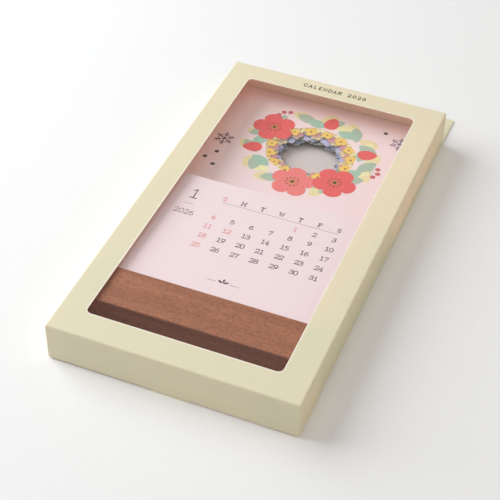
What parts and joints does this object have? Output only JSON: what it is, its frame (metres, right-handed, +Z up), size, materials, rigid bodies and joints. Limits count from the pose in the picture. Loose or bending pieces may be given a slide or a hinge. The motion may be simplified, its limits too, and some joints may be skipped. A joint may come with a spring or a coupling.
{
  "type": "flip desk calendar",
  "caption": "Desk calendar of date cards and die-cut picture cards in a slotted wooden stand, packed flat in a window carton with a hanging header.",
  "frame": {"origin": "centre of the whole part's footprint, on the plane it lies on", "axes": "+Y along the carton towards its hanging header, +X to the right as the dates are read, +Z up out of the window"},
  "size_m": [0.11, 0.2222, 0.0192],
  "materials": {
    "case_board": "uncoated",
    "window_film": "clear gloss",
    "stand_wood": "oiled satin",
    "date_card": "matt",
    "picture_card_january": "matt",
    "picture_card_february": "matt",
    "picture_card_march": "matt",
    "picture_card_april": "matt",
    "picture_card_may": "matt",
    "picture_card_june": "matt",
    "picture_card_july": "matt",
    "picture_card_august": "matt",
    "picture_card_september": "matt",
    "picture_card_october": "matt",
    "picture_card_november": "matt",
    "picture_card_december": "matt"
  },
  "bodies": {
    "case": {"case_body": "case_board", "window_film": "window_film", "picture_card_january": "picture_card_january", "picture_card_february": "picture_card_february", "picture_card_march": "picture_card_march", "picture_card_april": "picture_card_april", "picture_card_may": "picture_card_may", "picture_card_june": "picture_card_june", "picture_card_july": "picture_card_july", "picture_card_august": "picture_card_august", "picture_card_september": "picture_card_september", "picture_card_october": "picture_card_october", "picture_card_november": "picture_card_november", "picture_card_december": "picture_card_december"},
    "front_flap": {"front_flap": "case_board"},
    "dust_flap_left": {"dust_flap_left": "case_board"},
    "dust_flap_right": {"dust_flap_right": "case_board"},
    "stand": {"wooden_stand": "stand_wood"},
    "date_card_january": {"date_card_january": "date_card"},
    "date_card_february": {"date_card_february": "date_card"},
    "date_card_march": {"date_card_march": "date_card"},
    "date_card_april": {"date_card_april": "date_card"},
    "date_card_may": {"date_card_may": "date_card"},
    "date_card_june": {"date_card_june": "date_card"},
    "date_card_july": {"date_card_july": "date_card"},
    "date_card_august": {"date_card_august": "date_card"},
    "date_card_september": {"date_card_september": "date_card"},
    "date_card_october": {"date_card_october": "date_card"},
    "date_card_november": {"date_card_november": "date_card"},
    "date_card_december": {"date_card_december": "date_card"}
  },
  "joints": [
    {"name": "front_flap_fold", "type": "hinge", "parent": "case", "child": "front_flap", "pos_m": [0, -0.1111, 0.0184], "axis": [-1, 0, 0], "range_deg": [0, 135]},
    {"name": "dust_flap_left_fold", "type": "hinge", "parent": "case", "child": "dust_flap_left", "pos_m": [-0.05395, -0.11013, 0.0096], "axis": [0, 0, -1], "range_deg": [-70, 0]},
    {"name": "dust_flap_right_fold", "type": "hinge", "parent": "case", "child": "dust_flap_right", "pos_m": [0.05395, -0.11013, 0.0096], "axis": [0, 0, 1], "range_deg": [-70, 0]},
    {"name": "stand_slide", "type": "slide", "parent": "case", "child": "stand", "axis": [0, -1, 0], "range_m": [0, 0.0205]},
    {"name": "date_card_january_slide", "type": "slide", "parent": "stand", "child": "date_card_january", "axis": [0, 0.9998, -0.0175], "range_m": [0, 0.014]},
    {"name": "date_card_february_slide", "type": "slide", "parent": "stand", "child": "date_card_february", "axis": [0, 0.9998, -0.0175], "range_m": [0, 0.014]},
    {"name": "date_card_march_slide", "type": "slide", "parent": "stand", "child": "date_card_march", "axis": [0, 0.9998, -0.0175], "range_m": [0, 0.014]},
    {"name": "date_card_april_slide", "type": "slide", "parent": "stand", "child": "date_card_april", "axis": [0, 0.9998, -0.0175], "range_m": [0, 0.014]},
    {"name": "date_card_may_slide", "type": "slide", "parent": "stand", "child": "date_card_may", "axis": [0, 0.9998, -0.0175], "range_m": [0, 0.014]},
    {"name": "date_card_june_slide", "type": "slide", "parent": "stand", "child": "date_card_june", "axis": [0, 0.9998, -0.0175], "range_m": [0, 0.014]},
    {"name": "date_card_july_slide", "type": "slide", "parent": "stand", "child": "date_card_july", "axis": [0, 0.9998, -0.0175], "range_m": [0, 0.014]},
    {"name": "date_card_august_slide", "type": "slide", "parent": "stand", "child": "date_card_august", "axis": [0, 0.9998, -0.0175], "range_m": [0, 0.014]},
    {"name": "date_card_september_slide", "type": "slide", "parent": "stand", "child": "date_card_september", "axis": [0, 0.9998, -0.0175], "range_m": [0, 0.014]},
    {"name": "date_card_october_slide", "type": "slide", "parent": "stand", "child": "date_card_october", "axis": [0, 0.9998, -0.0175], "range_m": [0, 0.014]},
    {"name": "date_card_november_slide", "type": "slide", "parent": "stand", "child": "date_card_november", "axis": [0, 0.9998, -0.0175], "range_m": [0, 0.014]},
    {"name": "date_card_december_slide", "type": "slide", "parent": "stand", "child": "date_card_december", "axis": [0, 0.9998, -0.0175], "range_m": [0, 0.014]}
  ]
}
